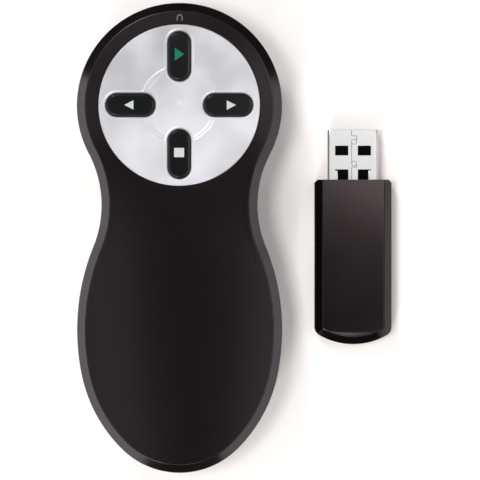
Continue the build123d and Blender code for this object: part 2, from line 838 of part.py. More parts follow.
def main():
    os.makedirs("parts", exist_ok=True)
    write("top_cover", top_cover())
    write("bottom_cover", bottom_cover())
    write("battery_door", battery_door())
    write("button_plate", button_plate())
    for name, angle in button_angles.items():
        write(f"{name}_button", button_cap(angle))
        write(f"{name}_switch", key_switch(angle))
        write(f"{name}_plunger", switch_plunger(angle))
    write("main_board", main_board())
    write("radio_chip", on_board(0, radio_chip_forward, radio_chip_side, radio_chip_side, radio_chip_height))
    controller = (controller_length, controller_width, controller_height)
    write("controller_chip", on_board(0, -controller_back, *controller))
    write("clock_crystal", on_board(0, -crystal_back, crystal_length, crystal_width, crystal_height))
    write("chip_antenna", on_board(0, antenna_forward, antenna_length, antenna_width, antenna_height))
    write("chip_capacitors", chip_capacitors())
    write("case_screws", case_screws())
    write("board_screws", board_screws())
    write("left_cell", cell(-1))
    write("right_cell", cell(1))
    write("cell_link_plate", link_plate())
    write("cell_link_spring", contact_spring(-1))
    write("positive_contact", head_contact(-1))
    write("negative_contact", head_contact(1))
    write("negative_spring", contact_spring(1))
    write("receiver_sleeve", receiver_sleeve())
    write("nose_switch", nose_switch())
    write("nose_plunger", nose_plunger())
    at_side = Pos(receiver_x, -receiver_back, 0)
    write("receiver_top_cover", at_side * receiver_top_cover())
    write("receiver_bottom_cover", at_side * receiver_bottom_cover())
    write("plug_shell", at_side * plug_shell())
    write("plug_tongue", at_side * plug_tongue())
    write("plug_contacts", at_side * plug_contacts())
    write("receiver_board", at_side * receiver_board())
    write("receiver_radio_chip", at_side * receiver_radio_chip())
    write("receiver_crystal", at_side * receiver_crystal())
    write("receiver_capacitors", at_side * receiver_capacitors())


main()
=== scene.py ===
"""Wireless presentation clicker and its receiver, dressed for the eye.

Sizes are in millimetres and in the frame of the CAD model: +Z up, +Y from the tail to the head,
the origin under the middle of the button plate. Each mesh is worked out in millimetres and stored
in metres.
"""

import bmesh
import bpy
import numpy as np
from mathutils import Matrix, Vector


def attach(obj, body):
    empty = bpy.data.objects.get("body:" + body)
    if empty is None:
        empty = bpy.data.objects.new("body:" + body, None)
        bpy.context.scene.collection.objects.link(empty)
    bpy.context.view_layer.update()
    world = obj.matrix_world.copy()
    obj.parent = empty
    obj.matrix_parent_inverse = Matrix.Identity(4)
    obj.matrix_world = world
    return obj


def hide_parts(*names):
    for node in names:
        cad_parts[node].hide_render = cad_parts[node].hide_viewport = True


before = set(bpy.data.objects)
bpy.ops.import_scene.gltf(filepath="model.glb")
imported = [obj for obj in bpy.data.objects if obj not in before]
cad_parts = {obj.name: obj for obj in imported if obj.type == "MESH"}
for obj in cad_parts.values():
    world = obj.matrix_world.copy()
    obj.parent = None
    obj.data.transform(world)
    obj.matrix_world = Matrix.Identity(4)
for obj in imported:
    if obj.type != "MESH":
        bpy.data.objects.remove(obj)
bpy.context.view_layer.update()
MM = 0.001
MIRROR = np.array((-1.0, 1.0))  # turns a plan point's right into left

# ---- sizes of the handset ----
HEAD_RADIUS = 23.6
# The outline from the crest of the head: radius and turn in degrees. A hollow arc is minus.
ARCS = ((HEAD_RADIUS, 117.8), (-25.3, 50.1), (51.0, 34.1), (33.3, 34.2))
FACE_HEIGHT = 26.5
ARCH_START = 20.0
TAIL_DROP = 2.0
CROWN = 0.0029  # how far the face falls per square millimetre away from its middle line
CROWN_SPAN = (-8.0, -34.0)  # y where the crown starts, and where it is full
RING_FALL = 0.25  # how far the head's rim falls from the plate's recess to the bevel
RING_SPAN = (-16.0, -2.0)  # y where that fall starts, and where it is full
RING_REACH = 1.3  # where it ends, as a share of the way from the recess to the bevel
BEVEL = (1.95, 1.4)  # width, rise
BEVEL_ROUNDING = (0.3, 0.4)  # at its crease, and at the side
FACE_MARGIN = 3.4  # from the outline in to the last row of the face
RECESS_RADIUS = 18.6
RECESS_EDGE = 0.12
SEAT_LEVEL = 25.5
PARTING = 11.9
PARTING_EDGE = 0.22
PARTING_REACH = 0.9  # how far the cover's foot goes in at the parting line
SLOT_HALF_WIDTH = 9.45
SLOT_LEVELS = (13.1, 21.7)
SLOT_WALL_END = 4.2  # from the tip of the tail

# ---- sizes of the button plate and the caps ----
PLATE_RADIUS = 18.5
PLATE_TOP = 26.7
PLATE_FALL = 0.15  # from its rim in to the dish
PLATE_EDGE = 0.15
RIM_WIDTH = 0.2  # the ring outside the plate's quarters
QUARTER_BEND = 7.5  # radius of the point of a quarter's edge that faces the end of a slot's side
CENTRE_RADIUS = 1.8  # the disc inside the quarters
DISH_RADIUS = 8.75
DISH_WALL = (1.4, 0.15)  # width, drop
DISH_BEADS = ((8.85, 0.6, 0.045), (8.1, 0.5, 0.026))  # radius, width, height
DISH_DEPTH = 0.45
PIP = (1.2, 0.07)  # radius, height
# The ridged lip of a slot, from inside it: distance from the slot's wall, height over the plate.
SLOT_LIP = ((0, -1), (0, -0.04), (0.3, 0.06), (0.66, 0), (0.8, 0))
SLOT_LIP_ROUNDING = (0.04, 0.3, 0.3)
CAP_OFFSET = 11.2
CAP_LENGTH = 11.1
CAP_WIDTH = 5.0
CAP_TOP = 27.6
CAP_FOOT = 23.4
CAP_SHOULDER = 0.45
CAP_GAP = 0.2
INK_THICKNESS = 0.015
BUTTONS = {"forward": 0.0, "start": 90.0, "back": 180.0, "stop": 270.0}  # degrees from +X

# ---- sizes of the receiver, whose front face is at y RECEIVER_FRONT ----
RECEIVER_X = 40.8
RECEIVER_FRONT = -16.6
RECEIVER_SIZE = (18.3, 39.1, 8.0)
RECEIVER_SPLIT = 4.0
RECEIVER_END_RADIUS = 16.0
RECEIVER_CORNER = 2.2
RECEIVER_CUT = 0.7
RECEIVER_BEVEL = (1.85, 1.2)  # width, rise
RECEIVER_ROUNDING = (0.5, 0.3)  # at the bevel's crease, and at the side
RECEIVER_FOOT = (0.6, 0.12)  # how far it goes in at the parting line, and its rounding
RECEIVER_MARGIN = 0.2  # between the bevel and the last row of the top
RECEIVER_SPINE_END = 9.0  # from the far end to the end of the top's middle line
RECEIVER_CROWN = 0.28  # how far its top falls from the middle to each end
SCOOP = (0.8, 6.3, 18.0)  # the facet at the end of its top: width, half span, slope in degrees
PLUG_SIZE = (12.0, 11.85, 4.5)
PLUG_MIDDLE = 4.0
PLUG_OPENING = 0.05  # clearance round the plug in the front face
PLUG_SHEET = 0.3
PLUG_INNER_END = -6.9
PLUG_CORNER = 0.5
BROKEN_EDGE = 0.05
WINDOW_X = (1.15, 4.25)  # from the plug's middle line
WINDOW_Y = (5.8, 8.1)  # from the receiver's front face, like the next
REAR_WINDOW_Y = (-0.55, 2.45)
TAB = (0.6, 0.25)  # width of the tab in a rear window, and its gap in front


# ---- lines and steps ----
def eased(t):
    """A smooth step: 3 t^2 - 2 t^3."""
    return t * t * (3 - 2 * t)


def spokes(angles):
    """Unit vectors at angles anticlockwise from +X: (cos, sin)."""
    return np.stack([np.cos(angles), np.sin(angles)], -1)


def unit(heading):
    """Unit vectors at headings clockwise from +Y: (sin, cos)."""
    return np.stack([np.sin(heading), np.cos(heading)], -1)


def lifted(plan, level):
    """Plan points with a height."""
    return np.concatenate([plan, np.broadcast_to(level, len(plan))[:, None]], 1)


def rounded(corners, radii, steps=6, hold=0.05):
    """A line through corners, each inner one rounded by its radius.

    With u and v the directions into and out of a corner, and a the angle between u and v, the arc
    starts r tan(a / 2) before the corner and turns from u's normal to v's. A point at hold beyond
    each end of the arc keeps the shading of the straight runs even.
    """
    corners = np.asarray(corners, float)
    runs = [corners[:1]]
    for before, at, after, radius in zip(corners, corners[1:], corners[2:], radii):
        u = (at - before) / np.linalg.norm(at - before)
        v = (after - at) / np.linalg.norm(after - at)
        turn = np.arctan2(u[0] * v[1] - u[1] * v[0], u @ v)
        reach = radius * np.tan(abs(turn) / 2)
        side = np.sign(turn)
        centre = at - u * reach + side * radius * np.array((-u[1], u[0]))
        angles = np.linspace(0, turn, steps + 1)[:, None]
        spoke = -side * radius * np.array((-u[1], u[0]))
        across = np.array((-spoke[1], spoke[0]))
        arc = centre + np.cos(angles) * spoke + np.sin(angles) * across
        runs.append(np.vstack([arc[0] - u * hold, arc, arc[-1] + v * hold]))
    runs.append(corners[-1:])
    return np.vstack(runs)


# ---- making meshes ----
def placed(name, mesh, body):
    """A mesh as an object of the scene that moves with a body."""
    thing = bpy.data.objects.new(name, mesh)
    bpy.context.scene.collection.objects.link(thing)
    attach(thing, body)
    return thing


def piece(name, sheets, material, body, replaces=(), sharp=35.0, keep=None, second=None):
    """One object from sheets, which are grids of points (rows, columns, 3) in millimetres.

    Each sheet is (points, whether its columns close round, whether its faces are turned over).
    keep is a mask of the cells of the first sheet, and second is (material, first row) of a second
    finish on it. Points that meet are merged, so seams and poles close. An edge sharper than
    sharp degrees stays a crease.
    """
    points, faces, finish, start = [], [], [], 0
    for n, (grid, wrap, flip) in enumerate(sheets):
        rows, cols = grid.shape[:2]
        strips = cols if wrap else cols - 1
        i, j = np.meshgrid(np.arange(rows - 1), np.arange(strips), indexing="ij")
        k = (j + 1) % cols
        cells = np.stack([i * cols + j, (i + 1) * cols + j, (i + 1) * cols + k, i * cols + k], -1)
        late = i >= second[1] if second and n == 0 else i < 0
        if n == 0 and keep is not None:
            cells, late = cells[keep], late[keep]
        cells = cells.reshape(-1, 4)
        finish.append(late.reshape(-1).astype(np.int32))
        faces.append((cells[:, ::-1] if flip else cells) + start)
        points.append(grid.reshape(-1, 3))
        start += rows * cols
    mesh = bpy.data.meshes.new(name)
    mesh.from_pydata(np.concatenate(points) * MM, [], np.concatenate(faces))
    mesh.materials.append(material)
    if second:
        mesh.materials.append(second[0])
        mesh.polygons.foreach_set("material_index", np.concatenate(finish))
    shape = bmesh.new()
    shape.from_mesh(mesh)
    bmesh.ops.remove_doubles(shape, verts=shape.verts, dist=2e-3 * MM)
    shape.to_mesh(mesh)
    shape.free()
    mesh.shade_smooth()
    mesh.set_sharp_from_angle(angle=np.radians(sharp))
    thing = placed(name, mesh, body)
    if replaces:
        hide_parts(*replaces)
    return thing


def printed_mark(name, corners, top, material, body):
    """A printed mark: a flat shape with its upper face at the height top, and closed sides.

    It is twice the ink's thickness deep, so that on a cap its foot lies inside the cap.
    """
    count = len(corners)
    corners = np.asarray(corners, float)
    points = np.concatenate([lifted(corners, top - 2 * INK_THICKNESS), lifted(corners, top)])
    foot, head = tuple(range(count))[::-1], tuple(range(count, 2 * count))
    sides = [(i, (i + 1) % count, count + (i + 1) % count, count + i) for i in range(count)]
    mesh = bpy.data.meshes.new(name)
    mesh.from_pydata(points * MM, [], [foot, head, *sides])
    mesh.materials.append(material)
    placed(name, mesh, body)


# ---- making materials ----
def colour(code):
    """An sRGB hex colour as linear numbers, opaque."""
    c = np.array([int(code[i : i + 2], 16) for i in (1, 3, 5)]) / 255
    linear = np.where(c <= 0.04045, c / 12.92, ((c + 0.055) / 1.055) ** 2.4)
    return (*linear.tolist(), 1.0)


def node(tree, kind, links=None, **settings):
    """A node with its settings. In links, sockets are joined to inputs and other values are set."""
    new = tree.nodes.new(kind)
    for key, value in settings.items():
        setattr(new, key, value)
    for socket, source in (links or {}).items():
        if isinstance(source, bpy.types.NodeSocket):
            tree.links.new(source, new.inputs[socket])
        else:
            new.inputs[socket].default_value = source
    return new


PLASTIC_IOR = 1.5  # ABS, acetal, epoxy, ink and glaze are all near it


def finish_of(name, base, roughness, metallic=0.0, **sockets):
    """A material of one Principled surface, and its tree and shader for more nodes."""
    material = bpy.data.materials.new(name)
    material.use_nodes = True
    tree = material.node_tree
    shader = tree.nodes["Principled BSDF"]
    shader.inputs["Base Color"].default_value = colour(base)
    shader.inputs["Roughness"].default_value = roughness
    shader.inputs["Metallic"].default_value = metallic
    if not metallic:
        shader.inputs["IOR"].default_value = PLASTIC_IOR
    for socket, value in sockets.items():
        shader.inputs[socket.replace("_", " ")].default_value = value
    return material, tree, shader


def grained(name, base, roughness, grain, height, spread=0.05, tint=0.06, cloud=9.0, shift=0.0,
            **sockets):
    """A surface with a fine grain in its height, and broad clouds in its gloss and tone.

    The grain is noise of grain millimetres, height millimetres deep. The clouds are noise of cloud
    millimetres: they run from roughness - spread to roughness + spread, and from base (1 - tint) to
    base (1 + tint), so where both are minus the high clouds are the dark and glossy ones. Adding
    shift millimetres to z in the noise picks which clouds fall on the piece.
    """
    material, tree, shader = finish_of(name, base, roughness, **sockets)
    place = node(tree, "ShaderNodeTexCoord").outputs["Object"]
    fine = node(tree, "ShaderNodeTexNoise",
                {"Vector": place, "Scale": 1 / (grain * MM), "Detail": 3.0})
    cut = node(tree, "ShaderNodeMapping", {"Vector": place, "Location": (0.0, 0.0, shift * MM)})
    broad = node(tree, "ShaderNodeTexNoise",
                 {"Vector": cut.outputs[0], "Scale": 1 / (cloud * MM), "Detail": 2.0})
    bump = node(tree, "ShaderNodeBump",
                {"Height": fine.outputs[0], "Strength": 1.0, "Distance": height * MM})
    tree.links.new(bump.outputs[0], shader.inputs["Normal"])
    gloss = node(tree, "ShaderNodeMapRange",
                 {0: broad.outputs[0], 3: roughness - spread, 4: roughness + spread},
                 interpolation_type="SMOOTHSTEP")
    tree.links.new(gloss.outputs[0], shader.inputs["Roughness"])
    dark, light = (np.array(colour(base)[:3]) * (1 + s * tint) for s in (-1, 1))
    tone = node(tree, "ShaderNodeMix",
                {0: broad.outputs[0], 6: (*dark, 1.0), 7: (*light, 1.0)}, data_type="RGBA")
    tree.links.new(tone.outputs[2], shader.inputs["Base Color"])
    return material


# Soft-touch lacquer on ABS, sprayed: a warm near-black with a broad, quiet sheen and a fine orange
# peel. The paint's matting takes most of the mirror off it, so its specular level is low.
soft_touch = grained("soft_touch_lacquer", "#0f0a0b", 0.25, grain=0.25, height=0.003, spread=0.015,
                     Specular_IOR_Level=0.15, Specular_Tint=(1.0, 0.9, 0.92, 1.0))
# Satin ABS, moulded: the bevel and the sides of the same shell, smoother, so that they catch the
# side lights.
satin_abs = grained("satin_moulded_abs", "#090808", 0.22, grain=0.4, height=0.002,
                    Specular_Tint=(1.0, 0.9, 0.98, 1.0))
# Spark-textured ABS, moulded: the lower cover and the door, duller and greyer than the shell above.
textured_abs = grained("spark_textured_abs", "#171516", 0.42, grain=0.3, height=0.02)
# Silver lacquer on ABS, sprayed: bright all over, with soft clouds in tone and gloss. The clouds
# are partly the mottling of the aluminium flakes and partly painted shade and painted reflection:
# tint makes them strong, and shift puts a dark one, painted shade, over the plate's top. The flakes
# are far finer, and are drawn at 0.2 mm so that they show.
silver = grained("silver_lacquer", "#cac9ce", 0.385, grain=0.2, height=0.002, spread=-0.1,
                 tint=-0.48, cloud=14.0, shift=132.0, metallic=0.65)
# Key caps, polished ABS: a cool black, semi-gloss, with paler shoulders where they turn to the
# lights.
cap_resin = grained("polished_key_abs", "#080b0a", 0.2, grain=0.5, height=0.001, spread=0.02,
                    Specular_IOR_Level=0.35)
# Inks, pad-printed: flat colour, slightly raised, no gloss.
green_ink = grained("green_pad_ink", "#046e55", 0.55, grain=0.1, height=0.002,
                    Specular_IOR_Level=0.2)
white_ink = grained("white_pad_ink", "#c2c4c2", 0.55, grain=0.1, height=0.002,
                    Specular_IOR_Level=0.2)
grey_ink = grained("grey_pad_ink", "#625c60", 0.5, grain=0.1, height=0.002)
# Receiver shell, high-gloss ABS: deep black that mirrors the room softly, over a slight waviness.
gloss_abs = grained("piano_gloss_abs", "#090607", 0.2, grain=2.0, height=0.0005, spread=0.02,
                    Specular_IOR_Level=0.46, Specular_Tint=(1.0, 0.8, 0.82, 1.0))
# Nickel-plated steel sheet, pressed: bright and slightly blurred.
nickel = grained("nickel_plated_steel", "#cbcaca", 0.34, grain=0.15, height=0.002, tint=0.02,
                 metallic=0.9)
# Painted shade: a dull grey line laid on the plug's sheet where its two ends meet, for the seam's
# gap.
seam_shade_grey = grained("painted_seam_shade", "#6f6d6c", 0.6, grain=0.2, height=0.001)
# Inner mouldings, unfilled thermoplastic: dull black.
inner_resin = grained("black_moulded_resin", "#0d0c0c", 0.5, grain=0.3, height=0.004)
# The plug's insulator, glass-filled: the fibres leave it dead matt and blacker than the mouldings.
filled_resin = grained("glass_filled_insulator", "#050505", 0.75, grain=0.2, height=0.01,
                       Specular_IOR_Level=0.05)
# Acetal, moulded and left uncoloured: milky white with a waxy shine.
white_resin = grained("white_acetal", "#d9d8d2", 0.45, grain=0.3, height=0.004)
# Glass-epoxy board under solder mask: glossy green, with the weave just showing.
solder_mask = grained("solder_mask_on_epoxy", "#12502b", 0.3, grain=0.5, height=0.006, tint=0.15)
# Epoxy with silica, moulded round a chip: flat charcoal with a fine grit.
epoxy = grained("moulded_chip_epoxy", "#1b1b1b", 0.55, grain=0.12, height=0.004)
# Ceramic, pressed and fired: chalky tan.
ceramic = grained("fired_ceramic", "#b09064", 0.5, grain=0.15, height=0.004)
# Steel can, deep drawn: bright, with clean reflections.
steel_can = grained("drawn_steel_can", "#b5b5b3", 0.28, grain=0.3, height=0.002, metallic=1.0)
# Steel screws, blackened by oxidation: dark metal with a soft shine.
blackened = grained("blackened_steel", "#5a5a5c", 0.4, grain=0.2, height=0.003, metallic=1.0)
# Spring steel, nickel-plated and bent: a warm, clear silver.
contact_plate = grained("nickel_plated_spring_steel", "#c9c5bb", 0.25, grain=0.2, height=0.002,
                        metallic=1.0)
# Cell jacket, film printed and shrunk on: dark blue under a gloss.
jacket = grained("printed_cell_jacket", "#2f4a66", 0.3, grain=0.6, height=0.002)
# Bronze strip, flashed with gold: yellow metal with clean reflections.
gold = grained("gold_flashed_bronze", "#d8b25a", 0.25, grain=0.2, height=0.001, metallic=1.0)

CARRIED = {
    soft_touch: ("top_cover",),
    textured_abs: ("bottom_cover", "battery_door"),
    silver: ("button_plate",),
    filled_resin: ("plug_tongue",),
    inner_resin: ("receiver_sleeve", "nose_switch",
                  "forward_switch", "start_switch", "back_switch", "stop_switch"),
    white_resin: ("nose_plunger",
                  "forward_plunger", "start_plunger", "back_plunger", "stop_plunger"),
    cap_resin: ("forward_button", "start_button", "back_button", "stop_button"),
    solder_mask: ("main_board", "receiver_board"),
    epoxy: ("radio_chip", "controller_chip", "receiver_radio_chip"),
    ceramic: ("chip_antenna", "chip_capacitors", "receiver_capacitors"),
    steel_can: ("clock_crystal", "receiver_crystal"),
    blackened: ("case_screws", "board_screws"),
    contact_plate: ("cell_link_plate", "cell_link_spring", "positive_contact",
                    "negative_contact", "negative_spring"),
    jacket: ("left_cell", "right_cell"),
    gloss_abs: ("receiver_top_cover", "receiver_bottom_cover"),
    nickel: ("plug_shell",),
    gold: ("plug_contacts",),
}
for material, nodes in CARRIED.items():
    for name in nodes:
        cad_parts[name].data.materials.clear()
        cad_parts[name].data.materials.append(material)


# ---- handset outline and face ----
def handset_outline(step=0.55):
    """Points, outward normals and recess angles round the outline, clockwise from the head's crest.

    The right half is five tangent arcs: a point is centre + radius * unit(heading). The left half
    is its mirror. Each point's partner on the plate's recess has the same heading on the head, and
    over the rest the heading grows evenly with the point's number, to half a turn at the tail.
    """
    heading, runs = 0.0, []
    at = np.array((0.0, HEAD_RADIUS))
    for radius, turn in ARCS:
        centre = at - radius * unit(heading)
        last = heading + np.copysign(np.radians(turn), radius)
        runs.append((centre, radius, heading, last))
        at, heading = centre + radius * unit(last), last
    tail_radius = at[0] / np.sin(heading)
    runs.append((at - tail_radius * unit(heading), tail_radius, heading, np.pi))
    points, normals, partner = [], [], []
    for n, (centre, radius, first, last) in enumerate(runs):
        count = int(abs(radius * (last - first)) / step) + 1
        headings = np.linspace(first, last, count + 1)[:-1]
        if n == len(ARCS):
            at_slot = np.pi - np.arcsin(SLOT_HALF_WIDTH / radius)
            headings = np.sort(np.append(headings, at_slot))
        points.append(centre + radius * unit(headings))
        normals.append(unit(headings))
        partner.append(headings if n == 0 else np.full(len(headings), np.nan))
    points.append(runs[-1][0] + tail_radius * unit(np.array([np.pi])))
    normals.append(unit(np.array([np.pi])))
    points, normals = np.concatenate(points), np.concatenate(normals)
    rest = len(points) - len(partner[0])
    partner = np.concatenate([partner[0], np.linspace(runs[0][3], np.pi, rest)])
    points = np.concatenate([points, points[-2:0:-1] * MIRROR])
    normals = np.concatenate([normals, normals[-2:0:-1] * MIRROR])
    partner = np.concatenate([partner, -partner[-2:0:-1]])
    return points, normals, partner


OUTLINE, NORMALS, PARTNER = handset_outline()
TAIL_Y = OUTLINE[:, 1].min()
TAIL_END = TAIL_Y + 8.0  # the tail slot's rim lies wholly below this y


def face_level(x, y):
    """Height of the face: level over the head, then a long arc to the tail, less its crown.

    The arc is R - sqrt(R^2 - run^2) below the face, and the crown is CROWN x^2 times a smooth step
    in y. Over the head the rim falls evenly outwards from the recess by RING_FALL, which fades out
    at the waist.
    """
    run = np.clip(-ARCH_START - y, 0, None)
    full = -ARCH_START - TAIL_Y
    radius = (full**2 + TAIL_DROP**2) / (2 * TAIL_DROP)
    fade = eased(np.clip((CROWN_SPAN[0] - y) / (CROWN_SPAN[0] - CROWN_SPAN[1]), 0, 1))
    ring_width = HEAD_RADIUS - BEVEL[0] - RECESS_RADIUS
    outwards = np.clip((np.hypot(x, y) - RECESS_RADIUS) / ring_width, 0, RING_REACH)
    waist = eased(np.clip((y - RING_SPAN[0]) / (RING_SPAN[1] - RING_SPAN[0]), 0, 1))
    arch = radius - np.sqrt(radius**2 - run**2)
    return FACE_HEIGHT - arch - CROWN * x**2 * fade - RING_FALL * outwards * waist


def inset(distance):
    """The outline moved in by a distance, in plan."""
    return OUTLINE - NORMALS * distance


# ---- upper cover ----
def upper_cover():
    """Rows from the floor of the plate's recess, over the face and the bevel, to the parting line.

    Face rows run from the recess to FACE_MARGIN inside the outline: a point is (1 - t) partner +
    t inset(FACE_MARGIN). Bevel rows are inset(d) at face level less the bevel's fall at d. Side
    rows are the outline at falling heights. Also given are the cells outside the tail slot, and
    the row where the bevel starts.
    """
    circle = unit(PARTNER)
    rows = [lifted(circle * RECESS_RADIUS, SEAT_LEVEL),
            lifted(circle * RECESS_RADIUS, FACE_HEIGHT - RECESS_EDGE)]
    for a in np.radians(np.linspace(15, 90, 6)):
        plan = circle * (RECESS_RADIUS + RECESS_EDGE * (1 - np.cos(a)))
        rows.append(lifted(plan, face_level(*plan.T) - RECESS_EDGE * (1 - np.sin(a))))
    start = circle * (RECESS_RADIUS + RECESS_EDGE)
    for t in np.linspace(0, 1, 28)[1:]:
        plan = (1 - t) * start + t * inset(FACE_MARGIN)
        rows.append(lifted(plan, face_level(*plan.T)))
    width, rise = BEVEL
    profile = rounded([(FACE_MARGIN, 0), (width, 0), (0, -rise), (0, -rise - 1)], BEVEL_ROUNDING,
                      steps=7)[1:-1]
    crease = len(rows)
    for d, fall in profile:
        plan = inset(d)
        rows.append(lifted(plan, face_level(*plan.T) + fall))
    edge = rows[-1][:, 2]
    for t in np.linspace(0, 1, 3)[1:]:
        rows.append(lifted(OUTLINE, edge * (1 - t) + t * SLOT_LEVELS[1]))
    for level in np.linspace(SLOT_LEVELS[1], SLOT_LEVELS[0], 6)[1:]:
        rows.append(lifted(OUTLINE, level))
    foot = rounded([(0, SLOT_LEVELS[0]), (0, PARTING), (PARTING_REACH, PARTING)], (PARTING_EDGE,),
                   steps=4)[1:]
    for d, level in foot:
        rows.append(lifted(inset(d), level))
    grid = np.stack(rows)
    middle_z = (grid[:-1, :, 2] + grid[1:, :, 2]) / 2
    middle_x = (grid[:, :, 0] + np.roll(grid[:, :, 0], -1, 1))[:-1] / 2
    at_tail = (grid[:-1, :, 1] < TAIL_END) & (np.abs(middle_x) < SLOT_HALF_WIDTH)
    in_slot = at_tail & (middle_z < SLOT_LEVELS[1]) & (middle_z > SLOT_LEVELS[0])
    return grid, ~in_slot, crease


def slot_walls():
    """The walls of the tail slot: the slot's rim on the outline, carried straight in along y."""
    in_span = (np.abs(OUTLINE[:, 0]) < SLOT_HALF_WIDTH + 1e-6) & (OUTLINE[:, 1] < TAIL_END)
    span = OUTLINE[in_span]
    span = span[np.argsort(span[:, 0])]
    levels = np.linspace(*SLOT_LEVELS, 6)
    low = lifted(span, SLOT_LEVELS[0])
    high = lifted(span[::-1], SLOT_LEVELS[1])
    right = np.array([(*span[-1], z) for z in levels[1:-1]])
    left = np.array([(*span[0], z) for z in levels[::-1][1:-1]])
    ring = np.concatenate([low, right, high, left])
    inner = ring.copy()
    inner[:, 1] = TAIL_Y + SLOT_WALL_END
    return np.stack([ring, inner])


cover_grid, cover_keep, crease_row = upper_cover()
piece("upper_cover", [(cover_grid, True, True), (slot_walls(), True, True)], soft_touch,
      "handset", ["top_cover"], keep=cover_keep, second=(satin_abs, crease_row))


# ---- button plate ----
RUN_POINTS = 100  # points in each of the four runs round a slot
INNER_RUN = (2.4, 2.6)  # the part of the runs that faces the disc at the middle


def plate_level(r):
    """Height of the plate at r: a slight fall inwards, then the dish's beads, wall, bowl and pip.

    A bead is a low ridge cos^2(pi d), where d is the distance from its own radius over its width.
    The wall is a slope with eased ends, half of t and half of a smooth step, where t runs down it.
    The floor is a shallow bowl that falls the rest of the depth with sin(b pi / 2), where b runs
    from the wall's foot to the middle.
    """
    inwards = np.clip((PLATE_RADIUS - r) / (PLATE_RADIUS - DISH_RADIUS), 0, 1)
    wall_width, drop = DISH_WALL
    t = np.clip((DISH_RADIUS - r) / wall_width, 0, 1)
    b = np.clip(1 - r / (DISH_RADIUS - wall_width), 0, 1)
    wall = drop * (0.5 * t + 0.5 * eased(t))
    bowl = (DISH_DEPTH - drop) * np.sin(b * np.pi / 2)
    beads = sum(height * np.cos(np.pi * np.clip((r - at) / width, -0.5, 0.5)) ** 2
                for at, width, height in DISH_BEADS)
    pip = PIP[1] * eased(np.clip(1 - r / PIP[0], 0, 1))
    return PLATE_TOP - PLATE_FALL * inwards - wall - bowl + beads + pip


def obround(count, grow):
    """Points and outward normals round a slot along +X, anticlockwise.

    Four runs of count points each: outer half circle, straight side, inner half circle, straight
    side.
    """
    half, radius = (CAP_LENGTH - CAP_WIDTH) / 2, CAP_WIDTH / 2 + grow
    t = np.arange(count) / count
    outer = spokes(np.pi * (t - 0.5))
    side = np.tile((0.0, 1.0), (count, 1))
    normals = np.concatenate([outer, side, -outer, -side])
    straight = half * (1 - 2 * t)
    centres = np.concatenate([np.full(count, half), straight, np.full(count, -half), -straight])
    plan = normals * radius + np.stack([centres, np.zeros(4 * count)], 1)
    return plan + (CAP_OFFSET, 0), normals


def turned(plan, angle):
    """Plan points turned anticlockwise about the middle of the plate."""
    c, s = np.cos(np.radians(angle)), np.sin(np.radians(angle))
    return plan @ np.array([[c, s], [-s, c]])


def plate_quarter(angle):
    """A quarter of the plate round one slot: rows go from the slot's lip to the quarter's edge.

    The edge is a line in r and angle, piecewise linear in the slot's four runs u = 0 to 4: the
    rim's arc, a line inwards at 45 degrees, a small arc round the middle within the inner half
    circle's run, and the line back. A row is (1 - t) lip + t edge, at the plate's height there.
    """
    lip = rounded(SLOT_LIP, SLOT_LIP_ROUNDING, steps=3, hold=0.02)[1:]
    plan, normals = obround(RUN_POINTS, CAP_GAP)
    u = np.arange(4 * RUN_POINTS) / RUN_POINTS
    rim = PLATE_RADIUS - RIM_WIDTH
    out = np.interp(u, (0, 1, 2, *INNER_RUN, 3, 4),
                    (rim, rim, QUARTER_BEND, CENTRE_RADIUS, CENTRE_RADIUS, QUARTER_BEND, rim))
    swing = np.radians(np.interp(u, (0, 1, *INNER_RUN, 4), (-45, 45, 45, -45, -45)))
    edge = spokes(swing) * out[:, None]
    rows = [lifted(turned(plan, angle), SEAT_LEVEL)]
    for d, rise in lip:
        at = plan + normals * d
        rows.append(lifted(turned(at, angle), plate_level(np.hypot(*at.T)) + rise))
    start = at
    for t in np.linspace(0, 1, 34)[1:]:
        at = (1 - t) * start + t * edge
        rows.append(lifted(turned(at, angle), plate_level(np.hypot(*at.T))))
    return np.stack(rows)


def plate_rings(radii, levels, count):
    """Rings about the middle of the plate, whose points meet those of the quarters' edges."""
    ring = spokes(np.linspace(0, 2 * np.pi, count, endpoint=False) - np.pi / 4)
    return np.stack([lifted(ring * r, z) for r, z in zip(radii, levels)])


inner_radii = np.linspace(0.0, CENTRE_RADIUS, 13)
inner_count = round(4 * RUN_POINTS * (INNER_RUN[1] - INNER_RUN[0]))
edge_angles = np.radians(np.linspace(0, 90, 6))
rim_start = PLATE_RADIUS - RIM_WIDTH
rim_radii = np.concatenate([[rim_start], PLATE_RADIUS - PLATE_EDGE * (1 - np.sin(edge_angles)),
                            [PLATE_RADIUS]])
rim_levels = np.concatenate([[plate_level(rim_start)],
                             PLATE_TOP - PLATE_EDGE * (1 - np.cos(edge_angles)), [SEAT_LEVEL]])
piece("button_plate_face",
      [(plate_quarter(angle), True, True) for angle in BUTTONS.values()]
      + [(plate_rings(inner_radii, plate_level(inner_radii), inner_count), True, False),
         (plate_rings(rim_radii, rim_levels, 4 * RUN_POINTS), True, False)],
      silver, "handset", ["button_plate"])


# ---- button caps and their printed marks ----
def cap_grid(angle, count=24):
    """Rows up the side of a cap, over its rounded shoulder and in to its middle line."""
    top = CAP_TOP - INK_THICKNESS
    profile = rounded([(0, CAP_FOOT), (0, top), (CAP_WIDTH / 2, top)], (CAP_SHOULDER,), steps=9)
    return np.stack([lifted(turned(obround(count, -d)[0], angle), z) for d, z in profile])


for name, angle in BUTTONS.items():
    piece(f"{name}_cap", [(cap_grid(angle), True, False)], cap_resin, f"{name}_key",
          [f"{name}_button"])

START_ARROW = (2.15, 2.96)  # length, width
ARROW = (2.1, 2.14)
BLOCK = (2.3, 2.12)  # width, height


def arrow(length, width):
    """A triangle with its base on x = 0 and its point at (length, 0), to either side."""
    low, high = (0.0, -width / 2), (0.0, width / 2)
    return [low, (length, 0.0), high] if length > 0 else [high, (length, 0.0), low]


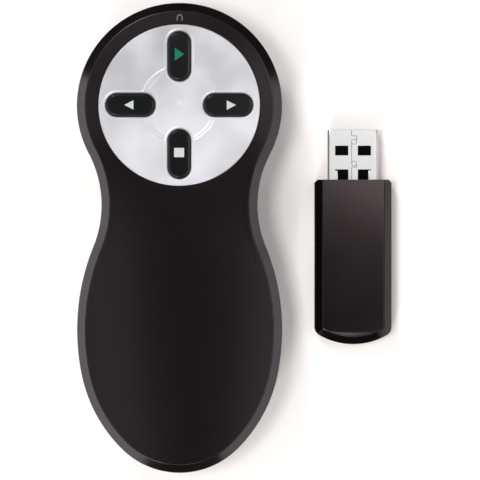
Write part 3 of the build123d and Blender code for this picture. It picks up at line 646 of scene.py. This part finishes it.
# Arrows point to +X on the start and forward keys and to -X on the back key. A row is (ink, place,
# corners from that place).
MARKS = {
    "start": (green_ink, (-1.0, 11.57), arrow(*START_ARROW)),
    "forward": (white_ink, (10.9, -0.07), arrow(*ARROW)),
    "back": (white_ink, (-10.44, -0.03), arrow(-ARROW[0], ARROW[1])),
    "stop": (white_ink, (0.0, -10.92),
             np.array([(-1, -1), (1, -1), (1, 1), (-1, 1)]) * BLOCK / 2),
}
for name, (ink, place, corners) in MARKS.items():
    printed_mark(f"{name}_mark", np.array(corners) + place, CAP_TOP, ink, f"{name}_key")

# A small plain arch on the rim of the head: two legs and a half circle, as one outline. It lies
# level, ARCH_RISE over the height of the middle of the sloping rim: the feet of its legs run into
# the rim, and its round end stands about 0.1 mm over it.
ARCH_PLACE = (0.1, 20.15)
ARCH_RADII = (0.68, 0.4)
ARCH_LEG = 1.2
ARCH_RISE = 0.06
half_circle = spokes(np.radians(np.linspace(0, 180, 13)))
outer, inner = (np.concatenate([[(r, -ARCH_LEG)], half_circle * r, [(-r, -ARCH_LEG)]])
                for r in ARCH_RADII)
printed_mark("rim_arch_mark", np.concatenate([outer, inner[::-1]]) + ARCH_PLACE,
             FACE_HEIGHT - RING_FALL / 2 + ARCH_RISE, grey_ink, "handset")


# ---- receiver ----
def receiver_path():
    """Points and inward directions round the receiver's outline, from front right to front left.

    Straight side, a small arc at the corner, the end's large arc, and the mirror image. The first
    points of the side, within RECEIVER_CUT of the front, are those where the corner is cut off.
    """
    width, length, _ = RECEIVER_SIZE
    half, big, small = width / 2, RECEIVER_END_RADIUS, RECEIVER_CORNER
    # The small circle touches the side, and the big circle from inside.
    centre_x = half - small
    big_y = big - length
    centre_y = big_y - np.sqrt((big - small) ** 2 - centre_x**2)
    turn = np.arctan2(centre_x, big_y - centre_y)
    side_y = np.concatenate([np.linspace(0, -RECEIVER_CUT, 4),
                             np.linspace(-RECEIVER_CUT, centre_y, 40)[1:]])
    side = np.stack([np.full(len(side_y), half), side_y], 1)
    a = np.linspace(np.pi / 2, np.pi - turn, 14)[1:]
    corner = np.array((centre_x, centre_y)) + small * unit(a)
    b = np.linspace(np.pi - turn, np.pi, 26)[1:]
    end = np.array((0.0, big_y)) + big * unit(b)
    points = np.concatenate([side, corner, end])
    inward = -np.concatenate([np.tile((1.0, 0.0), (len(side), 1)), unit(a), unit(b)])
    return (np.concatenate([points, points[-2::-1] * MIRROR]),
            np.concatenate([inward, inward[-2::-1] * MIRROR]))


def receiver_upper():
    """Rows from the middle line of the top, over the crease and the bevel, to the parting line.

    Near the front corner a row's inset is at least RECEIVER_CUT + y, which cuts the corner off at
    45 degrees. At the end a crescent facet w = width (1 - (x / half span)^2) wide slopes down to
    the crease, and what lies outside it is lower by w times the slope's tangent.
    """
    _, length, height = RECEIVER_SIZE
    path, inward = receiver_path()
    least = np.clip(RECEIVER_CUT + path[:, 1], 0, None)
    bevel_width, rise = RECEIVER_BEVEL
    spine_y = np.clip(path[:, 1], -length + RECEIVER_SPINE_END, 0)
    spine = np.stack([np.zeros(len(path)), spine_y], 1)

    def dome(plan):
        """Height of the top: a parabola along y that falls by RECEIVER_CROWN to each end."""
        return height - RECEIVER_CROWN * (2 * plan[:, 1] / length + 1) ** 2

    facet_width, half_span, slope = SCOOP
    at_end = path[:, 1] < -length / 2
    facet = facet_width * np.clip(1 - (path[:, 0] / half_span) ** 2, 0, 1) * at_end
    drop = np.tan(np.radians(slope)) * facet
    margin = bevel_width + RECEIVER_MARGIN
    hold = 0.03  # keeps the shading of the top even up to the facet
    rows = []
    for t in np.linspace(0, 1, 14):
        plan = (1 - t) * spine + t * (path + inward * (margin + hold + facet)[:, None])
        rows.append(lifted(plan, dome(plan)))
    for t in np.linspace(0, 1, 5)[:-1]:
        plan = path + inward * (margin + facet * (1 - t))[:, None]
        rows.append(lifted(plan, dome(plan) - drop * t))
    profile = rounded([(margin, 0), (bevel_width, 0), (0, -rise), (0, -rise - 1)],
                      RECEIVER_ROUNDING, steps=7)[1:-1]
    for d, fall in profile:
        at = np.maximum(d, least)
        if d < RECEIVER_CUT:
            fall = np.interp(at, profile[::-1, 0], profile[::-1, 1])
        plan = path + inward * at[:, None]
        rows.append(lifted(plan, dome(plan) + fall - drop))
    base = path + inward * least[:, None]
    edge = rows[-1][:, 2]
    for t in np.linspace(0, 1, 4)[1:-1]:
        rows.append(lifted(base, edge * (1 - t) + RECEIVER_SPLIT * t))
    reach, rounding = RECEIVER_FOOT
    foot = rounded([(0, RECEIVER_SPLIT + 1), (0, RECEIVER_SPLIT), (reach, RECEIVER_SPLIT)],
                   (rounding,), steps=3)[1:]
    for d, level in foot:
        plan = path + inward * np.maximum(d, least)[:, None]
        rows.append(lifted(plan, level))
    return np.stack(rows)


def receiver_front(grid):
    """The front face of the upper half: a sheet over each half of the plug, and one beside each.

    Its upper edge is the highest point of the grid's front line at each x. A sheet's rows go evenly
    from its foot, which is the plug's opening or the parting line, up to that edge.
    """
    half_plug = PLUG_SIZE[0] / 2 + PLUG_OPENING
    plug_top = PLUG_MIDDLE + PLUG_SIZE[2] / 2 + PLUG_OPENING
    line = grid[:, 0]
    x_out = np.abs(line[:, 0])
    known = np.unique(np.round(x_out, 4))
    highest = [line[np.isclose(x_out, x, atol=1e-3), 2].max() for x in known]
    xs = np.unique(np.round(np.append(x_out, half_plug), 4))
    top = np.interp(xs, known, highest)
    sheets = []
    for side in (1, -1):
        for pick, foot in ((xs <= half_plug + 1e-6, plug_top),
                           (xs >= half_plug - 1e-6, RECEIVER_SPLIT)):
            z = foot + (top[pick] - foot) * np.linspace(0, 1, 5)[:, None]
            x = np.broadcast_to(side * xs[pick], z.shape)
            sheets.append((np.stack([x, np.zeros_like(z), z], -1), False, side > 0))
    return sheets


def at_receiver(sheets):
    """The sheets moved from the receiver's own frame to its place beside the handset."""
    move = np.array((RECEIVER_X, RECEIVER_FRONT, 0.0))
    return [(grid + move, wrap, flip) for grid, wrap, flip in sheets]


def plug_shell():
    """Rings round the plug's section, one at each station along it, and a mask of the solid cells.

    A ring goes from the middle of the upper face towards +X and on round. A cell is open where its
    middle lies between the window's sides, and in a rear window also inside the tab or in front
    of it.
    """
    half, tall = PLUG_SIZE[0] / 2, PLUG_SIZE[2] / 2
    hold = 0.05  # keeps the shading of the flat even up to the corner
    flat = np.array([0.0, WINDOW_X[0], WINDOW_X[1] - TAB[0], WINDOW_X[1],
                     half - PLUG_CORNER - hold])
    turn = np.linspace(0, np.pi / 2, 7)
    bend = np.array((half, tall)) - PLUG_CORNER * (1 - unit(turn))
    waist = (half, 0.8)  # splits the plug's side, like the stations at 0.8 and 10 along it
    quarter = np.concatenate([np.stack([flat, np.full(len(flat), tall)], 1), bend, [waist]])
    side = np.concatenate([quarter, quarter[::-1] * (1, -1)])
    ring = np.concatenate([side, side[-2:0:-1] * (-1, 1)])
    stations = (PLUG_INNER_END, REAR_WINDOW_Y[0], 0.8, REAR_WINDOW_Y[1] - TAB[1],
                REAR_WINDOW_Y[1], *WINDOW_Y, 10.0, PLUG_SIZE[1])
    grid = np.stack([np.stack([ring[:, 0], np.full(len(ring), at), PLUG_MIDDLE + ring[:, 1]], 1)
                     for at in stations])
    middle = (grid[:-1] + grid[1:]) / 2
    middle = (middle + np.roll(middle, -1, 1)) / 2
    x, y = np.abs(middle[..., 0]), middle[..., 1]
    level = np.abs(middle[..., 2] - PLUG_MIDDLE) > tall - 0.01
    inside = (x > WINDOW_X[0]) & (x < WINDOW_X[1])
    front = (y > WINDOW_Y[0]) & (y < WINDOW_Y[1])
    rear = (y > REAR_WINDOW_Y[0]) & (y < REAR_WINDOW_Y[1])
    tab = (x > WINDOW_X[1] - TAB[0]) & (y < REAR_WINDOW_Y[1] - TAB[1])
    return grid, ~(level & inside & (front | (rear & ~tab)))


def ribbon(path, width, level):
    """A flat strip along a path: each point moved half the width to each side, square to it."""
    path = np.asarray(path, float)
    run = np.gradient(path, axis=0)
    across = np.stack([-run[:, 1], run[:, 0]], 1) / np.linalg.norm(run, axis=1)[:, None]
    across = across * width / 2
    return np.stack([lifted(path - across, level), lifted(path + across, level)])


def seam_line(corners, step=0.06):
    """Points close together along straight runs, so that a strip turns their corners cleanly."""
    corners = np.asarray(corners, float)
    runs = [a + (b - a) * np.linspace(0, 1, max(2, int(np.linalg.norm(b - a) / step)))[:-1, None]
            for a, b in zip(corners, corners[1:])]
    return np.concatenate([*runs, corners[-1:]])


receiver_grid = receiver_upper()
piece("receiver_upper_shell",
      at_receiver([(receiver_grid, False, False)] + receiver_front(receiver_grid)),
      gloss_abs, "receiver", ["receiver_top_cover"], sharp=40.0)

# The plug's sheet gets its thickness inwards and its broken edges, and is then made a plain mesh.
shell_grid, shell_keep = plug_shell()
shell = piece("plug_sheet", at_receiver([(shell_grid, True, True)]), nickel, "receiver",
              ["plug_shell"], keep=shell_keep)
sheet_metal = shell.modifiers.new("sheet", "SOLIDIFY")
sheet_metal.thickness = PLUG_SHEET * MM
sheet_metal.offset = -1.0
sheet_metal.use_even_offset = True
broken_edge = shell.modifiers.new("broken_edge", "BEVEL")
broken_edge.width = BROKEN_EDGE * MM
broken_edge.segments = 2
broken_edge.limit_method = "ANGLE"
broken_edge.angle_limit = np.radians(50)
even_shade = shell.modifiers.new("even_shade", "WEIGHTED_NORMAL")
even_shade.weight = 100
finished = shell.evaluated_get(bpy.context.evaluated_depsgraph_get())
settled = bpy.data.meshes.new_from_object(finished)
shell.modifiers.clear()
shell.data = settled

# The seam of the folded sheet, drawn as painted shade: a dark strip for the shade in its gap, along
# a line with two steps, and a round lock beside each step. Its y is from the receiver's front face,
# and it lies SEAM_LIFT over the sheet.
SEAM_X, STEP_X, LOCK_X, LOCK_RADIUS = -0.33, 0.86, 0.24, 0.6
SEAM_WIDTH = 0.13
SEAM_LIFT = 0.004
lock = spokes(np.linspace(0, 2 * np.pi, 33)) * LOCK_RADIUS
seam_runs = [
    seam_line([(SEAM_X, 11.8), (SEAM_X, 10.45), (STEP_X, 10.45), (STEP_X, 9.15)]),
    seam_line([(SEAM_X, 9.0), (SEAM_X, 3.9)]),
    seam_line([(STEP_X, 3.8), (STEP_X, 3.0), (SEAM_X, 3.0), (SEAM_X, 0.0)]),
    lock + (LOCK_X, 9.05),
    lock + (LOCK_X, 3.85),
]
seam_level = PLUG_MIDDLE + PLUG_SIZE[2] / 2 + SEAM_LIFT
piece("plug_seam_shade",
      at_receiver([(ribbon(run, SEAM_WIDTH, seam_level), False, True) for run in seam_runs]),
      seam_shade_grey, "receiver")

# ---- floor and room ----
STUDIO = bpy.context.scene
STUDIO.view_settings.view_transform = "Standard"

floor_mesh = bpy.data.meshes.new("floor")
floor_mesh.from_pydata([(-8, -8, 0), (8, -8, 0), (8, 8, 0), (-8, 8, 0)], [], [(0, 1, 2, 3)])
floor = bpy.data.objects.new("floor", floor_mesh)
STUDIO.collection.objects.link(floor)
# Paper sweep, uncoated: matt and barely warm. A faint glow to the lens and in reflections lifts it
# to full white in the light, and its shadows stay.
paper = bpy.data.materials.new("white_paper")
paper.use_nodes = True
tree = paper.node_tree
tree.nodes.clear()
rays = node(tree, "ShaderNodeLightPath").outputs
seen = node(tree, "ShaderNodeMath", {0: rays["Is Camera Ray"], 1: rays["Is Glossy Ray"]},
            operation="MAXIMUM")
seen = node(tree, "ShaderNodeMath", {0: seen.outputs[0], 1: rays["Is Transmission Ray"]},
            operation="MAXIMUM")
sheet = node(tree, "ShaderNodeBsdfDiffuse", {"Color": colour("#faf4f1")})
glow = node(tree, "ShaderNodeEmission", {"Color": colour("#ffffff"), "Strength": 0.1})
both = node(tree, "ShaderNodeAddShader", {0: sheet.outputs[0], 1: glow.outputs[0]})
mix = node(tree, "ShaderNodeMixShader",
           {0: seen.outputs[0], 1: sheet.outputs[0], 2: both.outputs[0]})
node(tree, "ShaderNodeOutputMaterial", {"Surface": mix.outputs[0]})
floor_mesh.materials.append(paper)

world = bpy.data.worlds.new("studio")
STUDIO.world = world
world.use_nodes = True
room = world.node_tree.nodes["Background"]
room.inputs["Color"].default_value = colour("#ffffff")
room.inputs["Strength"].default_value = 0.03


# ---- lights, in metres ----
AIM = (0.014, -0.03, 0.01)


def softbox(name, place, size, radiance, aim=AIM):
    """A flat light of size (width, height) in metres, whose face has the given radiance."""
    lamp = bpy.data.lights.new(name, "AREA")
    lamp.shape = "RECTANGLE"
    lamp.size, lamp.size_y = size
    lamp.energy = radiance * np.pi * size[0] * size[1]
    thing = bpy.data.objects.new(name, lamp)
    STUDIO.collection.objects.link(thing)
    thing.location = place
    thing.rotation_euler = (Vector(aim) - Vector(place)).to_track_quat("-Z", "Y").to_euler()
    thing.visible_camera = False
    return thing


# Two low panels light the bevels and the sides from left and right.
softbox("left_panel", (-0.55, -0.25, 0.15), (1.1, 0.28), 2.3)
softbox("right_panel", (0.6, -0.25, 0.15), (1.1, 0.28), 1.7)
# Two high strips give the plate and the plug their sheen, and fill the shadows.
softbox("left_strip", (-0.22, -0.1, 0.75), (0.6, 0.16), 2.3)
softbox("right_strip", (0.255, -0.1, 0.75), (0.6, 0.16), 3.1)
# Three small keys cast the shadows, and the front and back ones glint on the ridges and lips. The
# one nearly overhead is hidden from glossy rays, as it would lay a glare on the flat face.
softbox("front_key", (-0.18, -0.49, 0.64), (0.13, 0.17), 20.0)
softbox("back_key", (-0.21, 0.37, 0.69), (0.13, 0.14), 31.0)
softbox("over_key", (-0.11, -0.03, 0.72), (0.11, 0.11), 46.0).visible_glossy = False
# Cards: for the rim at the head's top, for the receiver's rounded end, and for the receiver's top
# by the plug.
softbox("head_card", (-0.06, 0.19, 0.75), (0.2, 0.08), 3.0)
softbox("end_card", (0.05, -0.5, 0.62), (0.1, 0.1), 9.0)
softbox("top_card", (0.11, 0.055, 0.55), (0.1, 0.1), 5.2, aim=(0.04, -0.03, 0.0))

# ---- camera, looking straight down ----
camera = bpy.data.cameras.new("camera")
camera.sensor_width = 36.0
camera.lens = 174.65
view = bpy.data.objects.new("camera", camera)
STUDIO.collection.objects.link(view)
view.location = (0.01392, -0.03092, 0.56)
STUDIO.camera = view
